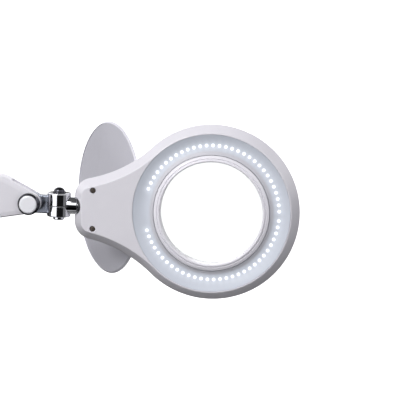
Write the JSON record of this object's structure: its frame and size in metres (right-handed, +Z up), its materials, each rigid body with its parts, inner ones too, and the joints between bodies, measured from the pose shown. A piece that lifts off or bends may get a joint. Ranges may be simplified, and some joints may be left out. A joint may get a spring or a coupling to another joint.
{
  "type": "magnifying lamp",
  "caption": "Clamp-on LED magnifying lamp: ring-lit round lens in a white head with a hinged cover, chrome swivel joint, two locking arms and a desk clamp.",
  "frame": {"origin": "centre of the swivel post's axis on the underside of the clamp's upper jaw pad, where it sits on the desk", "axes": "+Z up along the swivel post; +X towards the head, the way the arms reach; the LEDs face -Y and the cover is behind at +Y"},
  "size_m": [0.8041, 0.195, 0.5866],
  "materials": {
    "white_shell": "satin white moulding",
    "frosted_diffuser": "frosted translucent moulding",
    "lens_glass": "polished clear glass",
    "chrome": "bright polished plating",
    "steel": "plain turned steel",
    "blue_grey_metal": "smooth blue-grey coating",
    "arm_bar": "extruded bar",
    "dark_plastic": "fine matt moulding",
    "dark_screw": "blackened steel",
    "rubber": "matt rubber",
    "clamp_paint": "white powder coat",
    "circuit_board": "white solder mask"
  },
  "bodies": {
    "clamp": {"clamp_body": "clamp_paint", "post_bush": "dark_plastic", "jaw_pad": "rubber"},
    "clamp_pad": {"clamp_pad": "rubber"},
    "clamp_screw": {"clamp_screw": "chrome", "clamp_handle": "chrome"},
    "base": {"base_fork": "chrome", "base_nut": "steel"},
    "base_knob": {"base_knob": "chrome", "base_knob_cap": "white_shell", "base_bolt": "steel"},
    "lower_arm": {"lower_arm_front_shell": "white_shell", "lower_arm_rear_shell": "white_shell", "lower_arm_spine": "arm_bar", "lower_arm_screw_1": "dark_screw", "lower_arm_screw_2": "dark_screw", "dc_inlet": "dark_plastic", "elbow_nut": "steel"},
    "elbow_knob": {"elbow_knob": "chrome", "elbow_knob_cap": "white_shell", "elbow_bolt": "steel"},
    "forearm": {"forearm_front_shell": "white_shell", "forearm_rear_shell": "white_shell", "forearm_spine": "arm_bar", "forearm_screw_1": "dark_screw", "forearm_screw_2": "dark_screw", "tilt_nut": "steel"},
    "tilt_knob": {"tilt_knob": "chrome", "tilt_knob_cap": "white_shell", "tilt_bolt": "steel"},
    "link": {"swivel_link": "blue_grey_metal", "swivel_washer": "steel", "swivel_bolt": "chrome", "swivel_nut": "chrome"},
    "stem": {"swivel_stem": "chrome", "stem_collar": "steel"},
    "head": {"front_housing": "white_shell", "back_housing": "white_shell", "diffuser_ring": "frosted_diffuser", "lens_bezel": "white_shell", "magnifier_lens": "lens_glass", "lens_gasket": "rubber", "led_board_upper": "circuit_board", "led_board_lower": "circuit_board", "driver_board": "circuit_board", "housing_screw_upper": "dark_screw", "housing_screw_lower": "dark_screw", "stem_bush": "dark_plastic"},
    "power_button": {"power_button": "dark_plastic"},
    "lens_cover": {"lens_cover": "white_shell", "cover_hinge_pin": "steel"}
  },
  "joints": [
    {"name": "base_swivel", "type": "hinge", "parent": "clamp", "child": "base", "pos_m": [0, 0, 0.075], "axis": [0, 0, 1], "range_deg": [-170, 170]},
    {"name": "lower_arm_tilt", "type": "hinge", "parent": "base", "child": "lower_arm", "pos_m": [0, 0, 0.075], "axis": [0, 1, 0], "range_deg": [-75, 55]},
    {"name": "elbow_fold", "type": "hinge", "parent": "lower_arm", "child": "forearm", "pos_m": [0.10825, 0, 0.41834], "axis": [0, 1, 0], "range_deg": [-110, 20]},
    {"name": "head_tilt", "type": "hinge", "parent": "forearm", "child": "link", "pos_m": [0.44494, 0, 0.37102], "axis": [0, 1, 0], "range_deg": [-80, 100]},
    {"name": "head_swivel", "type": "hinge", "parent": "link", "child": "stem", "pos_m": [0.47764, 0, 0.36962], "axis": [0, 0, 1], "range_deg": [-60, 60]},
    {"name": "head_roll", "type": "hinge", "parent": "stem", "child": "head", "pos_m": [0.51104, 0, 0.36962], "axis": [1, 0, 0], "range_deg": [-90, 90]},
    {"name": "cover_hinge", "type": "hinge", "parent": "head", "child": "lens_cover", "pos_m": [0.57234, 0.0147, 0.36962], "axis": [0, 0, 1], "range_deg": [-122.8, 6]},
    {"name": "button_press", "type": "slide", "parent": "head", "child": "power_button", "axis": [0, -1, 0], "range_m": [0, 0.001], "stiffness_N_per_m": 600, "springref_m": -0.0005},
    {"name": "clamp_feed", "type": "slide", "parent": "clamp", "child": "clamp_pad", "axis": [0, 0, 1], "range_m": [-0.018, 0.022]},
    {"name": "clamp_screw_turn", "type": "hinge", "parent": "clamp_pad", "child": "clamp_screw", "pos_m": [0, 0, -0.036], "axis": [0, 0, 1], "range_deg": [-3300, 4000]},
    {"name": "base_knob_turn", "type": "hinge", "parent": "base", "child": "base_knob", "pos_m": [0, 0, 0.075], "axis": [0, 1, 0], "continuous": true},
    {"name": "elbow_knob_turn", "type": "hinge", "parent": "lower_arm", "child": "elbow_knob", "pos_m": [0.10825, 0, 0.41834], "axis": [0, 1, 0], "continuous": true},
    {"name": "tilt_knob_turn", "type": "hinge", "parent": "forearm", "child": "tilt_knob", "pos_m": [0.44494, 0, 0.37102], "axis": [0, 1, 0], "continuous": true}
  ],
  "couplings": [
    {"joint": "clamp_screw_turn", "follows": "clamp_feed", "rad_per_m": 3141.6}
  ]
}
